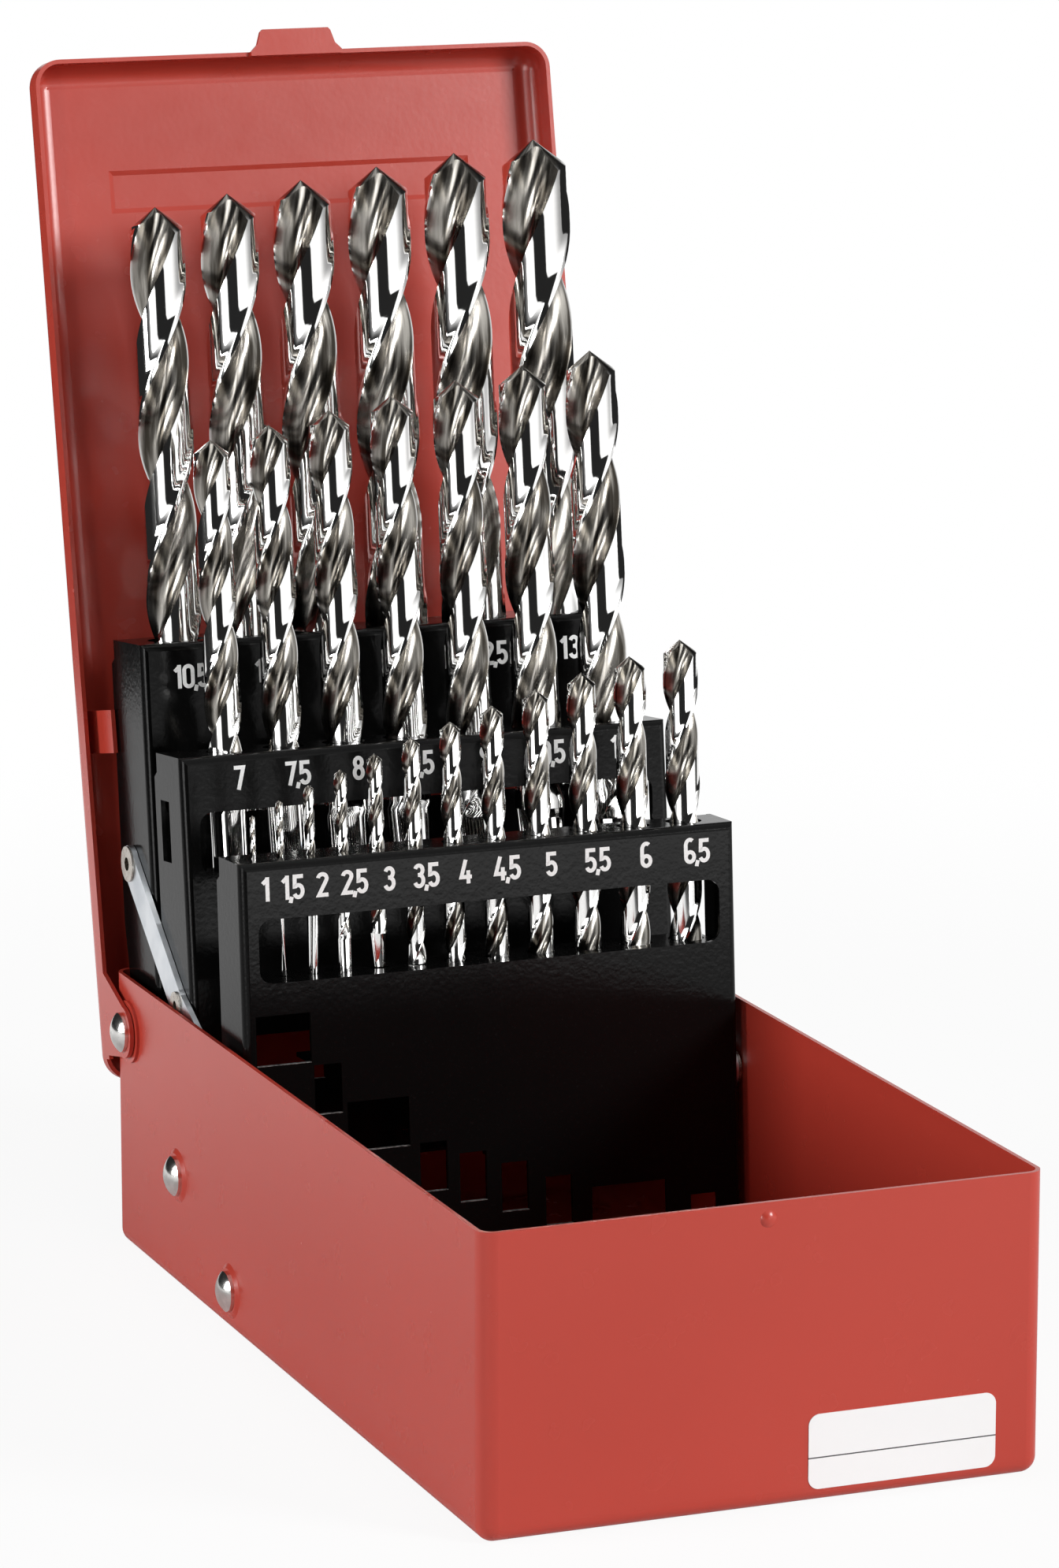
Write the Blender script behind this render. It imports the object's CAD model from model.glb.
from math import asin, atan, cos, pi, radians, sin, sqrt, tan

import bpy
import numpy as np
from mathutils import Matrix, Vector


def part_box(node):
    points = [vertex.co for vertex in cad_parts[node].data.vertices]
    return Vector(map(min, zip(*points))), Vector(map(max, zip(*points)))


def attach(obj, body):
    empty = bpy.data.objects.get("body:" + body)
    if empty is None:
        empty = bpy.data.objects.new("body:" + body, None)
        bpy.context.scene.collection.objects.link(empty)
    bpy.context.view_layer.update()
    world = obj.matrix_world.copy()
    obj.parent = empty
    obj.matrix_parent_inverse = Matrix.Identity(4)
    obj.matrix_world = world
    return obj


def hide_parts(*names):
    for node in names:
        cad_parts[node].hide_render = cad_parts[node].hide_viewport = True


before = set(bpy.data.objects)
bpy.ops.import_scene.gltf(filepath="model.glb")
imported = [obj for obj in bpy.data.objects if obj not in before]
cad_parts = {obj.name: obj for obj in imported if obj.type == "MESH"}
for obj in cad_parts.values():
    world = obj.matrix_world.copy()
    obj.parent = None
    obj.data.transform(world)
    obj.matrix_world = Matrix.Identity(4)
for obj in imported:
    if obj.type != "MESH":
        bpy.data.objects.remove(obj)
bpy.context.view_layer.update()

# ---------------------------------------------------------------- camera

# Measured on the picture: 1344 x 1990 pixels, focal length in pixels of that frame
FRAME_H = 1990
FOCAL_PX = 7912
camera_data = bpy.data.cameras.new("camera")
camera_data.sensor_width = 36
camera_data.lens = camera_data.sensor_width * FOCAL_PX / FRAME_H
camera = bpy.data.objects.new("camera", camera_data)
camera.location = (-0.4056, -1.0076, 0.3413)
camera.rotation_euler = (pi / 2 - 0.214, 0, -0.379)
bpy.context.collection.objects.link(camera)
bpy.context.scene.camera = camera


# ---------------------------------------------------------------- shader maths

class Value:
    """A shader socket that Python's operators work on. Each operator adds one Math node."""

    def __init__(self, tree, socket):
        self.tree, self.socket = tree, socket

    def maths(self, operation, *terms):
        return self.tree.add("ShaderNodeMath", {"operation": operation}, *terms)

    def __add__(self, other):
        return self.maths("ADD", self, other)

    def __rsub__(self, other):
        return self.maths("SUBTRACT", other, self)

    def __mul__(self, other):
        return self.maths("MULTIPLY", self, other)

    def __gt__(self, other):
        return self.maths("GREATER_THAN", self, other)

    def __lt__(self, other):
        return self.maths("LESS_THAN", self, other)

    __radd__, __rmul__ = __add__, __mul__

    def step(self, low, high):
        """A smooth rise from 0 at low to 1 at high."""
        return self.tree.add("ShaderNodeMapRange", {"interpolation_type": "SMOOTHSTEP"},
                             self, low, high, 0.0, 1.0)


class Finish:
    """One material: a node tree with a Principled shader and ways to feed it."""

    def __init__(self, name, **constants):
        self.material = bpy.data.materials.new(name)
        self.material.use_nodes = True
        self.nodes = self.material.node_tree.nodes
        self.links = self.material.node_tree.links
        self.shader = self.nodes["Principled BSDF"]
        self.set(**constants)

    def join(self, socket, value):
        if isinstance(value, Value):
            self.links.new(value.socket, socket)
        else:
            socket.default_value = value

    def set(self, **sockets):
        """Gives the shader's sockets their values or links; Base_Color means Base Color."""
        for name, value in sockets.items():
            if name == "Base_Color" and not isinstance(value, Value):
                value = (*value, 1)
            self.join(self.shader.inputs[name.replace("_", " ")], value)

    def add(self, kind, settings, *inputs, out=0, **named):
        """Adds a node: its settings first, then its inputs in order or by name."""
        node = self.nodes.new(kind)
        for name, value in settings.items():
            setattr(node, name, value)
        for socket, value in zip(node.inputs, inputs):
            self.join(socket, value)
        for name, value in named.items():
            self.join(node.inputs[name.replace("_", " ")], value)
        return Value(self, node.outputs[out])

    def place(self):
        return self.add("ShaderNodeTexCoord", {}, out="Object")

    def stretched(self, scale, turn):
        """Object coordinates turned, then scaled, for a pattern that runs one way."""
        turned = self.add("ShaderNodeMapping", {}, Vector=self.place(), Rotation=turn)
        return self.add("ShaderNodeMapping", {}, Vector=turned, Scale=scale)

    def noise(self, scale, detail=2.0, at=None):
        """Noise from 0 to 1 with its grain given in cycles per metre."""
        return self.add("ShaderNodeTexNoise", {}, Vector=at or self.place(), Scale=scale,
                        Detail=detail)

    def attribute(self, name):
        return self.add("ShaderNodeAttribute", {"attribute_name": name}, out="Fac")

    def tint(self, mask, low, high):
        """The colour low where the mask is 0 and high where it is 1."""
        node = self.nodes.new("ShaderNodeMix")
        node.data_type = "RGBA"
        self.join(node.inputs[0], mask)
        for socket, colour in ((node.inputs[6], low), (node.inputs[7], high)):
            self.join(socket, colour if isinstance(colour, Value) else (*colour, 1))
        return Value(self, node.outputs[2])

    def bump(self, height, distance):
        """Relief from a height of 0 to 1, as deep as the distance in metres."""
        self.set(Normal=self.add("ShaderNodeBump", {}, Strength=1.0, Distance=distance,
                                 Height=height))


# ---------------------------------------------------------------- finishes

ARM_SLOPE = radians(37)         # slope of the link arms at rest
RULE_AT = 0.42                  # the label's rule, as a share of its height
RULE_HALF_W = 0.00012


def red_paint():
    """Baked enamel: nearly even, with faint orange peel under a soft gloss."""
    f = Finish("red_enamel", Specular_IOR_Level=0.4)
    cloud = f.noise(9.0, 3.0)
    f.set(Base_Color=f.tint(cloud.step(0.3, 0.7), (0.45, 0.046, 0.029), (0.48, 0.051, 0.033)),
          Roughness=f.noise(160.0, 2.0) * 0.08 + 0.22)
    f.bump(f.noise(900.0, 1.0), 0.00001)
    return f.material


def black_paint():
    """Gloss black stove enamel on the racks."""
    f = Finish("black_enamel", Specular_IOR_Level=0.10)
    dust = f.noise(2600.0, 2.0)
    f.set(Base_Color=f.tint(dust.step(0.62, 0.8), (0.003, 0.003, 0.003), (0.008, 0.008, 0.008)),
          Roughness=f.noise(220.0, 2.0) * 0.06 + 0.12)
    f.bump(f.noise(1100.0, 1.0), 0.000018)
    return f.material


def zinc():
    """Bright zinc plate, a little blue, with rolling marks along the arm."""
    f = Finish("zinc_plate", Metallic=1.0)
    streaks = f.noise(1.0, 2.0, f.stretched((300, 250, 2600), (-ARM_SLOPE, 0, 0)))
    cloud = f.noise(120.0, 2.0)
    f.set(Base_Color=f.tint(cloud.step(0.3, 0.7), (0.62, 0.66, 0.70), (0.80, 0.83, 0.86)),
          Roughness=streaks * 0.2 + 0.22)
    f.bump(streaks, 0.00002)
    return f.material


def nickel():
    """Nickel-plated steel, bright with faint handling marks."""
    f = Finish("nickel_plate", Metallic=1.0)
    marks = f.noise(700.0, 3.0)
    f.set(Base_Color=f.tint(marks.step(0.35, 0.7), (0.66, 0.65, 0.63), (0.78, 0.77, 0.75)),
          Roughness=marks * 0.16 + 0.1)
    f.bump(f.noise(400.0, 1.0), 0.00002)
    return f.material


def eyelet_metal():
    """Duller, slightly brown plate on the hollow rivets."""
    f = Finish("eyelet_plate", Metallic=1.0)
    marks = f.noise(900.0, 3.0)
    f.set(Base_Color=f.tint(marks.step(0.3, 0.7), (0.42, 0.38, 0.33), (0.62, 0.58, 0.53)),
          Roughness=marks * 0.15 + 0.2)
    return f.material


def label_film():
    """White printed film with one thin rule across it."""
    f = Finish("label_film", Specular_IOR_Level=0.4)
    height = f.add("ShaderNodeSeparateXYZ", {}, f.place(), out="Z")
    low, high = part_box("size_label")[0].z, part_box("size_label")[1].z
    rule_z = low + (high - low) * RULE_AT
    rule = (height > rule_z - RULE_HALF_W) * (height < rule_z + RULE_HALF_W)
    f.set(Base_Color=f.tint(rule, (0.86, 0.86, 0.86), (0.08, 0.08, 0.08)),
          Roughness=f.noise(500.0) * 0.1 + 0.3)
    return f.material


def drill_steel():
    """Ground high-speed steel: polished lands, and flutes with the wheel's brownish streaks."""
    f = Finish("ground_steel", Metallic=1.0)
    flute = f.attribute("flute")
    across = f.attribute("across")      # how far round the section
    along = f.attribute("along")        # height along the drill in millimetres
    strip = f.add("ShaderNodeCombineXYZ", {}, across * 10.0, along * 0.06, 0.0)
    grind = f.noise(1.0, 3.0, strip)
    cloud = f.noise(60.0, 2.0)
    bare = f.tint(grind.step(0.35, 0.65), (0.05, 0.044, 0.036), (0.42, 0.40, 0.365))
    land = f.tint(cloud.step(0.3, 0.7), (0.80, 0.79, 0.78), (0.88, 0.88, 0.87))
    f.set(Base_Color=f.tint(flute, land, bare),
          Roughness=flute * (grind * 0.14 + 0.16) + (1 - flute) * 0.06)
    f.bump(grind * flute, 0.00001)
    return f.material


def print_white():
    """Screen-printed white ink."""
    f = Finish("white_ink", Specular_IOR_Level=0.4)
    thin = f.noise(3000.0, 2.0)
    f.set(Base_Color=f.tint(thin.step(0.2, 0.8), (0.80, 0.80, 0.79), (0.90, 0.90, 0.89)),
          Roughness=thin * 0.1 + 0.4)
    return f.material


def bare_edge():
    """Punched steel edge where the paint is thin."""
    f = Finish("bare_edge", Metallic=0.5)
    worn = f.noise(1500.0, 2.0)
    f.set(Base_Color=f.tint(worn.step(0.3, 0.7), (0.05, 0.05, 0.05), (0.32, 0.32, 0.31)),
          Roughness=worn * 0.2 + 0.3)
    return f.material


FINISHES = {"red": red_paint(), "black": black_paint(), "bare": bare_edge(), "zinc": zinc(),
            "nickel": nickel(), "eyelet": eyelet_metal(), "label": label_film(),
            "steel": drill_steel(), "ink": print_white()}
NODE_FINISH = {"tray": "red", "lid": "red", "back_rack": "black", "middle_rack": "black",
               "front_rack": "black", "link_arm_left": "zinc", "link_arm_right": "zinc",
               "hinge_rivets": "nickel", "middle_rack_rivets": "nickel",
               "front_rack_rivets": "nickel", "back_link_eyelets": "eyelet",
               "middle_link_rivets": "eyelet", "front_link_rivets": "eyelet",
               "size_label": "label"}
for node_name, finish in NODE_FINISH.items():
    for material_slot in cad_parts[node_name].material_slots:
        material_slot.material = FINISHES[finish]


# ---------------------------------------------------------------- meshes

MM = 0.001


def mesh_piece(name, points, faces, finish, body, smooth_angle=None):
    """A mesh object from points (n, 3) in the frame and from faces, riding on a body."""
    mesh = bpy.data.meshes.new(name)
    mesh.from_pydata(points, [], faces)
    mesh.materials.append(FINISHES[finish])
    if smooth_angle is not None:
        mesh.shade_smooth()
        mesh.set_sharp_from_angle(angle=smooth_angle)
    piece = bpy.data.objects.new(name, mesh)
    bpy.context.collection.objects.link(piece)
    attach(piece, body)
    return piece


def leaned(points, angle, foot):
    """Turns points (n, 3) backwards about X by the angle, then carries the origin to foot."""
    x, y, z = points.T
    return np.column_stack((foot[0] + x, foot[1] + y * cos(angle) + z * sin(angle),
                            foot[2] - y * sin(angle) + z * cos(angle)))


# ---------------------------------------------------------------- twist drills

WEB = 0.16              # half the web's thickness, as a share of the radius
HEEL = radians(101)     # where the flute ends and the land's heel begins
MARGIN = radians(180)   # where the margin at full radius begins
RAMP = radians(18)      # the curve that rises to it from the relieved land
RELIEVED = 0.94         # radius of the relieved land, as a share
POINT = radians(118) / 2
TURN = radians(226)     # which way the lips face
PITCH = 5.9             # helix pitch in diameters
RELIEF = 0.40           # fall of the point behind each lip
BEND = 0.35             # where the flute leaves the lip's straight line
CURL = 0.35             # how far the flute's curve first follows that line
WALL = 0.35             # length of the curve's last arm, at the heel
WALL_TURN = radians(95)     # and its direction
FLUTED = 0.76           # the flutes' length is this share of the drill's,
SHANK = 14 * MM         # less this length of plain shank
RUN_OUT = 2.4           # length in radii over which they fade into the shank
TAPER = 0.12            # share of their depth that they lose towards the foot
CHAMFER = 0.05          # of the foot, in radii
TIP = 0.12              # size of the smallest ring round the apex, as a share
ROWS_PER_TURN = 40
SMOOTH = radians(28)    # edges that turn more than this stay sharp


def half_section():
    """Half of the drill's section, from one lip round to the next: angle, radius, flute mask.

    The flute's cutting side is a straight line at the web's distance from the middle. A smooth
    curve leaves that line and rises to the heel. The relieved land follows, then a curve up to
    the margin at full radius."""
    lip = asin(WEB)
    start = np.array((BEND, WEB))
    heel = RELIEVED * np.array((cos(HEEL), sin(HEEL)))
    line_x = np.linspace(sqrt(1 - WEB**2), BEND, 7)[:-1]
    line = np.column_stack((line_x, np.full(len(line_x), WEB)))
    # a cubic from the line's end, along the line, to the heel, along the wall's own slope
    leave = start - (CURL, 0)
    arrive = heel - WALL * np.array((cos(WALL_TURN), sin(WALL_TURN)))
    t = np.linspace(0, 1, 18)[:, None]
    arc = ((1 - t) ** 3 * start + 3 * t * (1 - t) ** 2 * leave + 3 * t**2 * (1 - t) * arrive
           + t**3 * heel)
    flute = np.vstack((line, arc))
    angles = np.arctan2(flute[:, 1], flute[:, 0])
    radii = np.hypot(flute[:, 0], flute[:, 1])
    land = np.r_[np.linspace(HEEL, MARGIN - RAMP, 11)[1:],
                 np.linspace(MARGIN - RAMP, MARGIN, 8)[1:], (MARGIN + pi + lip) / 2]
    rise = np.clip((land - MARGIN + RAMP) / RAMP, 0, 1)
    land_r = RELIEVED + (1 - RELIEVED) * rise**2
    radii[-1] = RELIEVED
    mask = np.r_[np.ones(len(angles) - 1), 0.0, np.zeros(len(land))]
    mask[0] = 0.0
    return np.r_[angles, land], np.r_[radii, land_r], mask


def drill_piece(name, lean):
    """A twist drill over its CAD solid, which shares its name with its body.

    The wall is a grid: round the section by height, with the section turning steadily and its
    flutes running out into the shank. The point is a cone whose height falls with the radius
    and, for relief, with the angle behind each lip."""
    low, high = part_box(name)
    radius = (high.x - low.x) / 2
    foot = ((low.x + high.x) / 2, low.y + radius * cos(lean), low.z + radius * sin(lean))
    length = (high.z - foot[2]) / cos(lean)
    fluted = length * FLUTED - SHANK
    angle, share, mask = half_section()
    behind = np.clip((angle - HEEL) / (angle[-1] - HEEL), 0, 1)
    fall = np.where(angle > HEEL, 1 - behind, (angle - angle[0]) / (HEEL - angle[0]))
    angle = np.r_[angle, angle + pi]
    share, mask, fall = np.tile(share, 2), np.tile(mask, 2), np.tile(fall, 2)
    columns = len(angle)
    pitch = PITCH * 2 * radius
    rows = int(fluted / pitch * ROWS_PER_TURN) + 4
    begin = length - fluted
    cone = radius * share / tan(POINT) + RELIEF * radius * share * fall
    # heights: two rings on the shank, then the fluted part up to the cone
    v = np.linspace(0, 1, rows)[:, None]
    height = np.vstack((np.zeros((1, columns)), np.full((1, columns), CHAMFER * radius),
                        begin + v * (length - cone - begin)))
    run_out = np.clip((height - begin) / (RUN_OUT * radius), 0, 1)
    depth = run_out**2 * (3 - 2 * run_out)
    core = 1 - TAPER * (length - height) / length
    r = radius * (1 - (1 - share) * depth * core)
    r[0] -= CHAMFER * radius
    twist = TURN - 2 * pi * (length - height) / pitch
    wall = np.stack((r * np.cos(angle + twist), r * np.sin(angle + twist), height), 2)
    # the point: the top ring drawn in to the apex
    top_r, top_a = r[-1], (angle + twist[-1])
    rings = []
    for s in np.linspace(1, TIP, 6)[1:]:
        rings.append(np.stack((s * top_r * np.cos(top_a), s * top_r * np.sin(top_a),
                               length - s * (length - height[-1])), 1))
    points = np.vstack((wall.reshape(-1, 3), np.vstack(rings), [[0, 0, length], [0, 0, 0]]))
    count = len(wall) + len(rings)
    i, j = np.meshgrid(np.arange(count - 1), np.arange(columns), indexing="ij")
    a, b = i * columns + j, i * columns + (j + 1) % columns
    quads = np.stack((a, b, b + columns, a + columns), 2).reshape(-1, 4).tolist()
    last, apex, base = (count - 1) * columns, len(points) - 2, len(points) - 1
    fans = [(last + k, last + (k + 1) % columns, apex) for k in range(columns)]
    fans += [((k + 1) % columns, k, base) for k in range(columns)]
    piece = mesh_piece("dressed_" + name, leaned(points, lean, foot), quads + fans, "steel",
                       name, SMOOTH)
    fluted_mask = np.vstack((mask * depth, np.ones((len(rings), columns)))).ravel()
    around = np.tile(np.linspace(0, 2, columns), count)
    for label, values in (("flute", np.r_[fluted_mask, 1, 0]), ("across", np.r_[around, 0, 0]),
                          ("along", points[:, 2] / MM)):
        store = piece.data.attributes.new(label, "FLOAT", "POINT")
        store.data.foreach_set("value", values.astype(np.float32))
    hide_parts(name)


LEAN = {"back_rack": radians(6.6), "middle_rack": radians(6.6), "front_rack": radians(3.8)}
ROWS = {"front_rack": np.arange(1, 7, 0.5), "middle_rack": np.arange(7, 10.5, 0.5),
        "back_rack": np.arange(10.5, 13.5, 0.5)}


def drill_name(size):
    return f"drill_{int(size)}_{int(round(size % 1 * 10))}"


for rack, sizes in ROWS.items():
    for size in sizes:
        drill_piece(drill_name(size), LEAN[rack])


# ---------------------------------------------------------------- printed sizes

# Pivot (y, z), height of the rack, its face in front of the pivot, and the numerals' drop,
# in millimetres
RACKS = {"front_rack": (30.3, 8.3, 79.5, 5.4, 4.8), "middle_rack": (59.9, 22.4, 78.6, 5.8, 4.4),
         "back_rack": (87.7, 43.5, 74.2, 10.8, 6.4)}
NUMERAL_H = 4.45
WIDEN = 1.03            # the numerals' width, against the widths in GLYPHS
GAP = 0.05              # between the signs of one number
STROKE = 0.165          # of the numerals' height
INK = 0.03              # height of the ink above the paint
STACK = 0.006           # and of each stroke above the one before, so that none coincide


def bow(x, y, across, up, start, end):
    """Part of an ellipse about (x, y), from one angle to the other, in degrees."""
    t = np.radians(np.linspace(start, end, 17))
    return np.column_stack((x + across * np.cos(t), y + up * np.sin(t)))


def ring(x, y, across, up):
    return bow(x, y, across, up, 0, 360)


# Narrow upright numerals by the middle line of their strokes, 1 high: (width, strokes)
GLYPHS = {
    "0": (0.50, [np.vstack((bow(0.25, 0.75, 0.18, 0.18, 0, 180),
                            bow(0.25, 0.25, 0.18, 0.18, 180, 360), [(0.43, 0.75)]))]),
    "1": (0.33, [[(0.24, 0), (0.24, 1)], [(0.04, 0.73), (0.24, 0.92)]]),
    "2": (0.50, [np.vstack((bow(0.25, 0.75, 0.18, 0.18, 170, -25),
                            [(0.09, 0.07), (0.49, 0.07)]))]),
    "3": (0.50, [np.vstack((bow(0.25, 0.735, 0.16, 0.195, 160, -90), [(0.2, 0.54)])),
                 np.vstack(([(0.2, 0.54)], bow(0.25, 0.305, 0.18, 0.235, 90, -160)))]),
    "4": (0.52, [[(0.27, 1), (0.07, 0.28), (0.52, 0.28)], [(0.37, 0.55), (0.37, 0)]]),
    "5": (0.50, [np.vstack(([(0.46, 0.93), (0.11, 0.93), (0.1, 0.52)],
                            bow(0.25, 0.32, 0.18, 0.25, 125, -155)))]),
    "6": (0.50, [ring(0.25, 0.27, 0.18, 0.21),
                 np.vstack((bow(0.25, 0.75, 0.18, 0.25, 50, 180), [(0.07, 0.27)]))]),
    "7": (0.48, [[(0.02, 0.93), (0.42, 0.93), (0.19, 0)]]),
    "8": (0.50, [ring(0.25, 0.735, 0.155, 0.195), ring(0.25, 0.305, 0.18, 0.235)]),
    "9": (0.50, [ring(0.25, 0.73, 0.18, 0.21),
                 np.vstack((bow(0.25, 0.25, 0.18, 0.25, -130, 0), [(0.43, 0.73)]))]),
    ",": (0.02, [[(0.04, 0.11), (-0.02, -0.14)]])}


def ribbon(line):
    """Both edges of a stroke along its middle line, mitred at the corners."""
    line = np.array(line, float)
    step = np.diff(line, axis=0)
    step /= np.hypot(*step.T)[:, None]
    before, after = np.vstack((step[:1], step)), np.vstack((step, step[-1:]))
    if np.allclose(line[0], line[-1]):
        before[0], after[-1] = step[-1], step[0]
    mean = before + after
    mean /= np.hypot(*mean.T)[:, None]
    mitre = STROKE / 2 / np.maximum((mean * after).sum(1), 0.5)
    aside = np.column_stack((-mean[:, 1], mean[:, 0])) * mitre[:, None]
    return line + aside, line - aside


def numeral(text, name, body, lean, foot):
    """One printed number of flat strokes, centred, and laid on a rack's face."""
    points, faces, heights, pen = [], [], [], 0.0
    for sign in text:
        width, strokes = GLYPHS[sign]
        for line in strokes:
            left, right = ribbon(line)
            first, n = sum(map(len, points)), len(left)
            points += [left + (pen, 0), right + (pen, 0)]
            heights.append(np.full(2 * n, INK + STACK * len(heights)))
            faces += [(first + k, first + n + k, first + n + k + 1, first + k + 1)
                      for k in range(n - 1)]
        pen += width + GAP
    flat = np.vstack(points) - ((pen - GAP) / 2, 0.5)
    standing = np.column_stack((flat[:, 0] * WIDEN, np.zeros(len(flat)), flat[:, 1]))
    standing = standing * NUMERAL_H * MM
    standing[:, 1] = -np.concatenate(heights) * MM
    mesh_piece(name, leaned(standing, lean, foot), faces, "ink", body)


for rack, sizes in ROWS.items():
    pivot_y, pivot_z, tall, face, drop = RACKS[rack]
    lean = LEAN[rack]
    up = tall - drop
    for size in sizes:
        low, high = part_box(drill_name(size))
        foot = ((low.x + high.x) / 2, (pivot_y + up * sin(lean) - face * cos(lean)) * MM,
                (pivot_z + up * cos(lean) + face * sin(lean)) * MM)
        number = f"{size:g}".replace(".", ",")
        numeral(number, drill_name(size).replace("drill", "numeral"), rack, lean, foot)


# ---------------------------------------------------------------- pressed edges

HINGE = (0.0, 0.0877, 0.0435)
LID_OPEN = radians(101.4)
CLEAR = 0.01            # mm between the slopes' edges and the faces they join


def bar_slopes(half_w, low, high, inner, press, run):
    """The sloped walls round the bar that is pressed out of the lid's panel, in millimetres.

    The bar lies from low to high in front of the hinge, and its walls run in by run from the
    panel's inside, which is inner above the hinge when the lid is closed."""
    corners = [(-1, low, 1), (1, low, 1), (1, high, -1), (-1, high, -1)]
    rim = [(side * half_w, -at, inner + CLEAR) for side, at, _ in corners]
    floor = [(side * (half_w - run), -(at + inward * run), inner + press - CLEAR)
             for side, at, inward in corners]
    faces = [(k, (k + 1) % 4, (k + 1) % 4 + 4, k + 4) for k in range(4)]
    points = np.array(rim + floor) * MM
    mesh_piece("bar_slopes", leaned(points, LID_OPEN, HINGE), faces, "red", "lid")


# Depths of the drills' stops below each rack's top; the pocket under each stop
STOPS = {"front_rack": (27.3, 27.3, 37.2, 44.7, 44.7, 53.7, 56.4, 59.1, 62.6, 65.5, 65.5, 69),
         "middle_rack": (52, 52, 56.5, 56.5, 60.5, 60.5, 65),
         "back_rack": (53, 60, 58.5, 65, 63, 62)}
POCKET_SIDE, POCKET_H, SHEET = 2.65, 9.2, 0.8
EDGE_LIFT = 0.02        # of the bright edge off the painted sheet
EDGE_W = 0.1            # of its strip on the rack's face
LOWEST = 1.5            # a pocket that ends below this has no edge of its own


def pocket_edges(rack):
    """The bright cut edge along the bottom of each pocket."""
    pivot_y, pivot_z, tall, face, _ = RACKS[rack]
    points, faces = [], []
    middles = [(corner[0].x + corner[1].x) / 2 / MM
               for corner in (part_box(drill_name(size)) for size in ROWS[rack])]
    for stop in sorted(set(STOPS[rack])):
        shared = [x for x, own in zip(middles, STOPS[rack]) if own == stop]
        left, right = shared[0] - POCKET_SIDE, shared[-1] + POCKET_SIDE
        z = tall - stop - SHEET - POCKET_H + EDGE_LIFT
        if z < LOWEST:
            continue
        first = len(points)
        front = -face - EDGE_LIFT
        for y, up in ((SHEET - face, z), (front, z), (front, z - EDGE_W)):
            points += [(left, y, up), (right, y, up)]
        faces += [(first + 2, first + 3, first + 1, first),
                  (first + 4, first + 5, first + 3, first + 2)]
    pivot = (0, pivot_y * MM, pivot_z * MM)
    mesh_piece("pocket_edges_" + rack, leaned(np.array(points) * MM, LEAN[rack], pivot), faces,
               "bare", rack)


bar_slopes(half_w=37.1, low=156.4, high=164.6, inner=17.1, press=0.4, run=0.9)
for rack in ROWS:
    pocket_edges(rack)


# ---------------------------------------------------------------- floor and light

FLOOR_REACH = 0.6
FLOOR_SEEN = 0.92       # how far the floor near the case is plain white to the camera
FLOOR_MIRRORED = 0.05   # and in reflections; far away it is all white in both
# Brightness of the studio's parts in reflections, and of the plain fill for all else
WALLS, ABOVE, BAND, SPOT, DARK, FILL = 1.25, 1.0, 4, 7, 0.02, 0.08


def plain_stage():
    """A white floor that keeps a soft shadow and fades to plain white at its edge."""
    f = Finish("stage")
    path = f.nodes.new("ShaderNodeLightPath")
    camera_ray = Value(f, path.outputs["Is Camera Ray"])
    mirrored = (Value(f, path.outputs["Is Glossy Ray"])
                + Value(f, path.outputs["Is Transmission Ray"]))
    f.set(Base_Color=(0.82, 0.82, 0.82), Roughness=0.9, Specular_IOR_Level=0.0)
    glow = f.nodes.new("ShaderNodeEmission")
    glow.inputs["Strength"].default_value = 1.0
    mix = f.nodes.new("ShaderNodeMixShader")
    away = f.add("ShaderNodeVectorMath", {"operation": "LENGTH"}, f.place(), out="Value")
    seen = FLOOR_SEEN + (1 - FLOOR_SEEN) * away.step(0.25, 0.55)
    reflected = FLOOR_MIRRORED + (1 - FLOOR_MIRRORED) * away.step(0.06, 0.38)
    f.join(mix.inputs[0], camera_ray * seen + mirrored * reflected)
    f.links.new(f.shader.outputs[0], mix.inputs[1])
    f.links.new(glow.outputs[0], mix.inputs[2])
    f.links.new(mix.outputs[0], f.nodes["Material Output"].inputs["Surface"])
    mesh = bpy.data.meshes.new("floor")
    corners = [(x * FLOOR_REACH, y * FLOOR_REACH, 0)
               for x, y in ((-1, -1), (1, -1), (1, 1), (-1, 1))]
    mesh.from_pydata(corners, [], [(0, 1, 2, 3)])
    mesh.materials.append(f.material)
    floor = bpy.data.objects.new("floor", mesh)
    bpy.context.collection.objects.link(floor)


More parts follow.
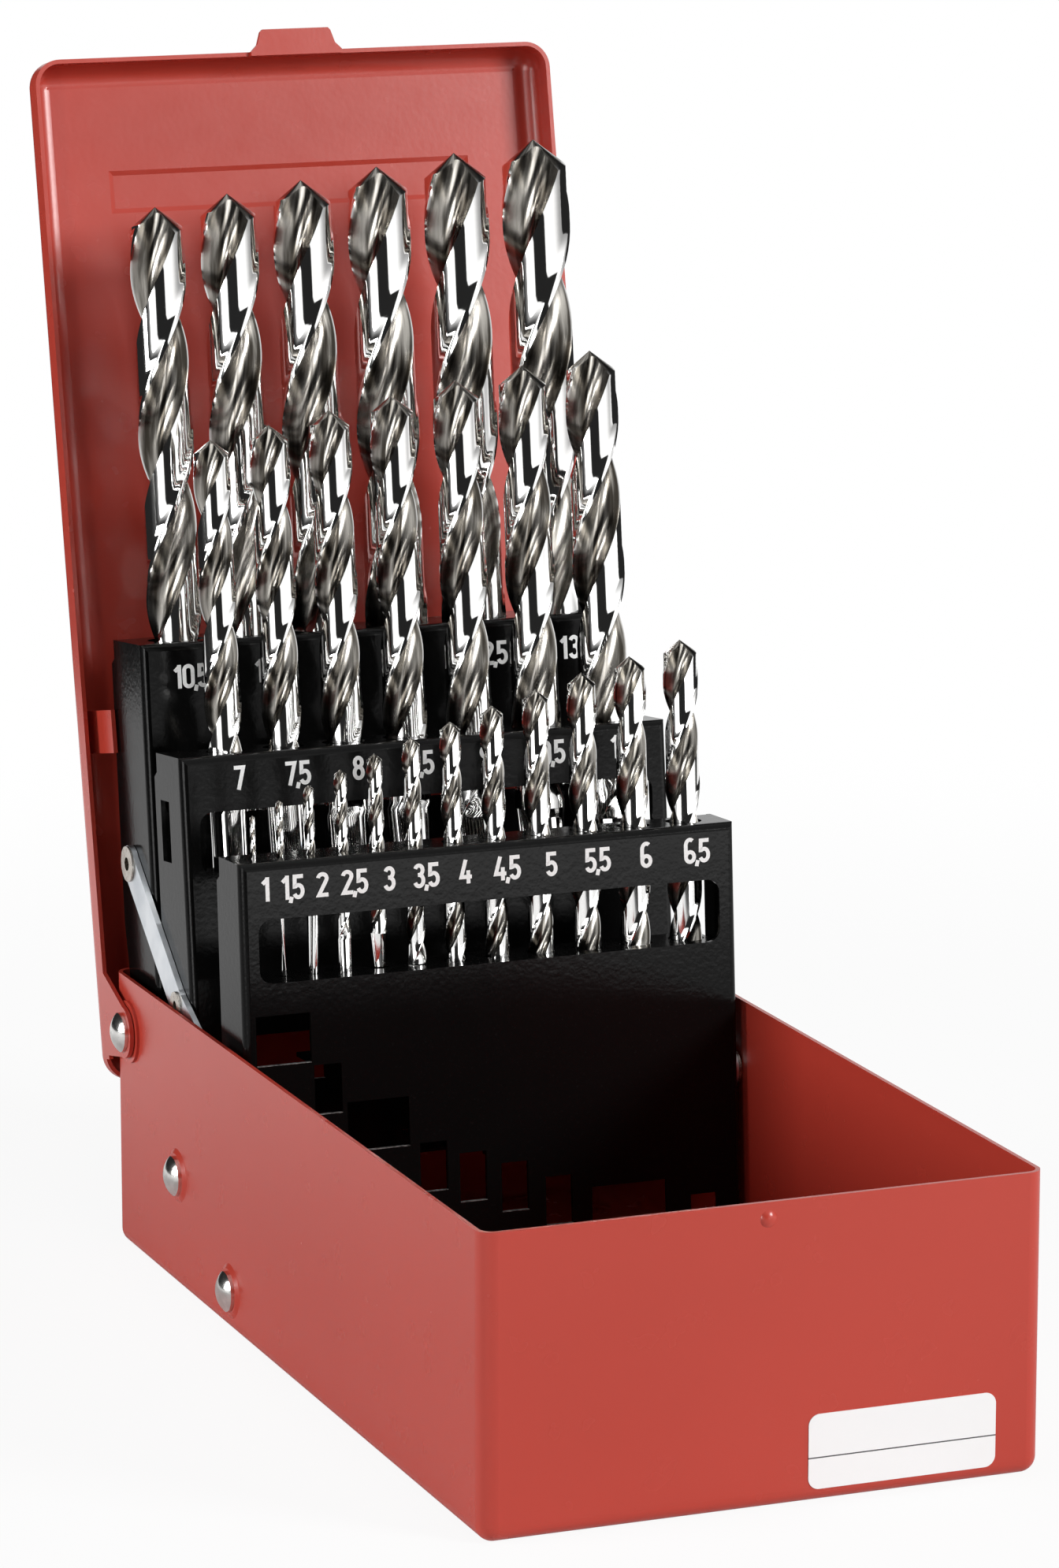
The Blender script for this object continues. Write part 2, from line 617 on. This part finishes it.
def studio_world():
    """White for the camera and a plain dim fill for diffuse light.

    Reflections see a dark room with a bright wall on the right and on the left, more light
    above and behind, a band along the right wall's horizon and one bright spot."""
    world = bpy.data.worlds.new("studio")
    bpy.context.scene.world = world
    world.use_nodes = True
    f = Finish.__new__(Finish)
    f.nodes, f.links = world.node_tree.nodes, world.node_tree.links
    path = f.nodes.new("ShaderNodeLightPath")
    camera_ray = Value(f, path.outputs["Is Camera Ray"])
    glossy_ray = Value(f, path.outputs["Is Glossy Ray"])
    way = f.add("ShaderNodeTexCoord", {}, out="Generated")

    def towards(*aim):
        return f.add("ShaderNodeVectorMath", {"operation": "DOT_PRODUCT"}, way, aim,
                     out="Value")

    # each wall is brightest at its near edge and fades away from the camera's side
    right = towards(0.721, -0.691, 0.0).step(0.77, 0.80)
    right = right * (1 - towards(0.991, 0.136, 0.0).step(0.6, 1.0) * 0.7)
    left = towards(-0.857, -0.518, 0.0).step(0.90, 0.92)
    left = left * (1 - towards(-0.827, 0.562, 0.0).step(0.2, 0.7))
    above = towards(0.0, -0.25, 0.97).step(0.6, 0.8)
    behind = towards(0.36, 0.90, 0.25).step(0.93, 0.97)
    walls = right.maths("MAXIMUM", right, left)
    height = towards(0.0, 0.0, 1.0)
    spot = towards(-0.78, -0.62, -0.05).step(0.97, 0.985)
    band = height.step(-0.15, -0.1) * (1 - height.step(-0.06, 0.0)) * right
    lobes = walls.maths("MAXIMUM", walls * WALLS, (above + behind) * ABOVE)
    room = lobes + band * BAND + spot * SPOT + DARK
    level = camera_ray + (1 - camera_ray) * (glossy_ray * room + (1 - glossy_ray) * FILL)
    sky = f.nodes["Background"]
    sky.inputs["Color"].default_value = (1, 1, 1, 1)
    f.join(sky.inputs["Strength"], level)


def softbox(name, place, aim, width, height, power):
    """A rectangular lamp that faces the aim."""
    lamp = bpy.data.lights.new(name, "AREA")
    lamp.shape = "RECTANGLE"
    lamp.size, lamp.size_y, lamp.energy = width, height, power
    holder = bpy.data.objects.new(name, lamp)
    holder.location = place
    across = np.subtract(aim, place)
    flat = sqrt(across[0] ** 2 + across[1] ** 2)
    holder.rotation_euler = (pi / 2 + atan(across[2] / flat), 0,
                             np.arctan2(-across[0], across[1]))
    holder.visible_camera = False
    bpy.context.collection.objects.link(holder)


plain_stage()
studio_world()
MIDDLE = (0, 0.02, 0.1)
# name, place, width and height in metres, power in watts
LAMPS = (("key", (1.45, -1.7, 1.0), 0.7, 0.7, 52), ("left", (-1.6, 0.15, 0.4), 0.6, 0.6, 17),
         ("strip", (-1.25, -1.2, 0.5), 0.08, 0.9, 3), ("top", (0.0, -0.1, 1.6), 0.4, 0.4, 4))
for name, place, width, height, power in LAMPS:
    softbox(name, place, MIDDLE, width, height, power)

bpy.context.scene.view_settings.view_transform = "Standard"
